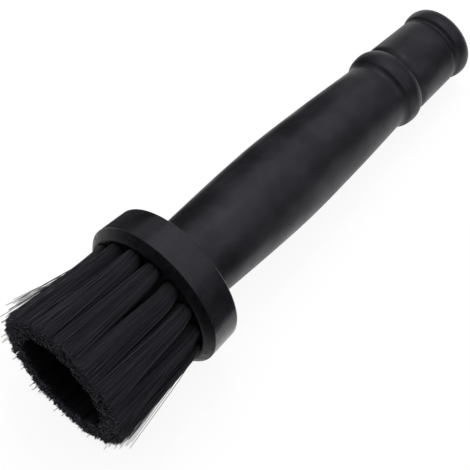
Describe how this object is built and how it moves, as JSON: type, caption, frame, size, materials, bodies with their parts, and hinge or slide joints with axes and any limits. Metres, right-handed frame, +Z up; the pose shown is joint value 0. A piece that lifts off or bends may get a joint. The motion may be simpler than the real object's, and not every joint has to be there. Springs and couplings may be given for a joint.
{
  "type": "wheel nut cleaning brush",
  "caption": "Hand brush with a hollow ring of stiff black bristle tufts in a round head, which fits over a wheel nut, on a thick turned-look plastic handle with a collar and pommel.",
  "frame": {"origin": "on the floor below the middle of the brush's bounding box, the brush lying on its side", "axes": "+X along the brush from the bristle tips to the end of the handle, +Y to its left, +Z up"},
  "size_m": [0.2206, 0.0608, 0.0636],
  "materials": {
    "black_moulded_plastic": "satin black moulded plastic, slightly wavy",
    "black_bristle": "stiff black nylon filament, cut tips",
    "staple_steel": "bare flat staple wire"
  },
  "bodies": {
    "root": {"handle": "black_moulded_plastic", "head_block": "black_moulded_plastic", "tuft_01": "black_bristle", "tuft_02": "black_bristle", "tuft_03": "black_bristle", "tuft_04": "black_bristle", "tuft_05": "black_bristle", "tuft_06": "black_bristle", "tuft_07": "black_bristle", "tuft_08": "black_bristle", "tuft_09": "black_bristle", "tuft_10": "black_bristle", "tuft_11": "black_bristle", "tuft_12": "black_bristle", "tuft_13": "black_bristle", "tuft_14": "black_bristle", "tuft_15": "black_bristle", "tuft_16": "black_bristle", "anchor_01": "staple_steel", "anchor_02": "staple_steel", "anchor_03": "staple_steel", "anchor_04": "staple_steel", "anchor_05": "staple_steel", "anchor_06": "staple_steel", "anchor_07": "staple_steel", "anchor_08": "staple_steel", "anchor_09": "staple_steel", "anchor_10": "staple_steel", "anchor_11": "staple_steel", "anchor_12": "staple_steel", "anchor_13": "staple_steel", "anchor_14": "staple_steel", "anchor_15": "staple_steel", "anchor_16": "staple_steel"}
  },
  "joints": []
}
